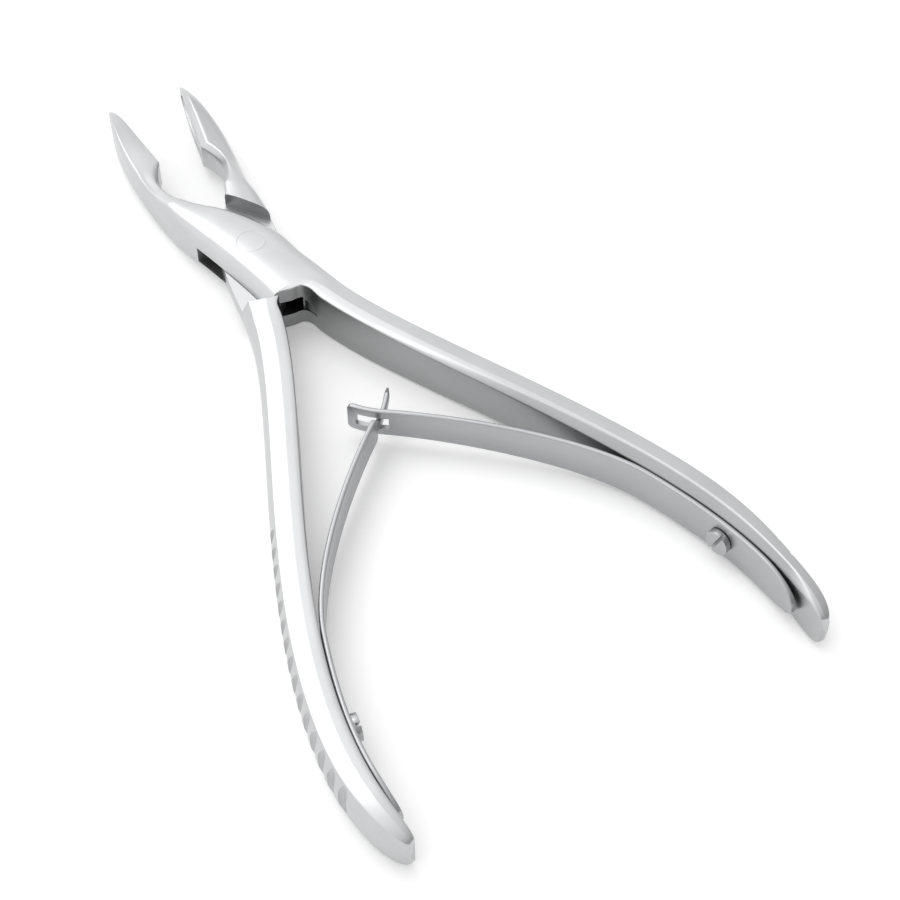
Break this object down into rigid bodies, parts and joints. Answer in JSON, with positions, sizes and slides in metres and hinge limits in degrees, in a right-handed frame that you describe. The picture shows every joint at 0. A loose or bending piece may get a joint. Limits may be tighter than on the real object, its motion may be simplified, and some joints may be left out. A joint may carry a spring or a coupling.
{
  "type": "bone cutting forceps",
  "caption": "Bone cutting forceps with cupped jaws, a box lock, outward-curved grooved handles and interlocking leaf springs that hold the handles open.",
  "frame": {"origin": "on the pivot axis, in the plane that the forceps lies on", "axes": "+Z along the pivot axis and up from the resting side, +Y along the closing line towards the jaws, +X towards the handle of the slotted box arm"},
  "size_m": [0.0746, 0.1492, 0.0084],
  "materials": {
    "arms": "fine satin",
    "pin": "fine satin, ground flush",
    "springs": "polished flat spring stock",
    "screws": "turned and lightly polished"
  },
  "bodies": {
    "box_arm": {"box_arm": "arms", "pivot_pin": "pin", "slotted_leaf_screw": "screws"},
    "cross_arm": {"cross_arm": "arms", "tongue_leaf_screw": "screws"},
    "slotted_leaf": {"slotted_leaf_spring": "springs"},
    "tongue_leaf": {"tongue_leaf_spring": "springs"}
  },
  "joints": [
    {"name": "arm_pivot", "type": "hinge", "parent": "box_arm", "child": "cross_arm", "pos_m": [0, 0, 0.0042], "axis": [0, 0, 1], "range_deg": [0, 16.4], "stiffness_Nm_per_rad": 0.8, "springref_deg": -3.44},
    {"name": "slotted_leaf_flex", "type": "hinge", "parent": "box_arm", "child": "slotted_leaf", "pos_m": [0.02696, -0.07173, 0.0042], "axis": [0, 0, -1], "range_deg": [0, 9.2], "deforming": ["slotted_leaf_spring"]},
    {"name": "tongue_leaf_flex", "type": "hinge", "parent": "cross_arm", "child": "tongue_leaf", "pos_m": [-0.02696, -0.07173, 0.0042], "axis": [0, 0, 1], "range_deg": [0, 9.2], "deforming": ["tongue_leaf_spring"]}
  ],
  "couplings": [
    {"joint": "slotted_leaf_flex", "follows": "arm_pivot", "ratio": 0.56},
    {"joint": "tongue_leaf_flex", "follows": "arm_pivot", "ratio": 0.56}
  ]
}
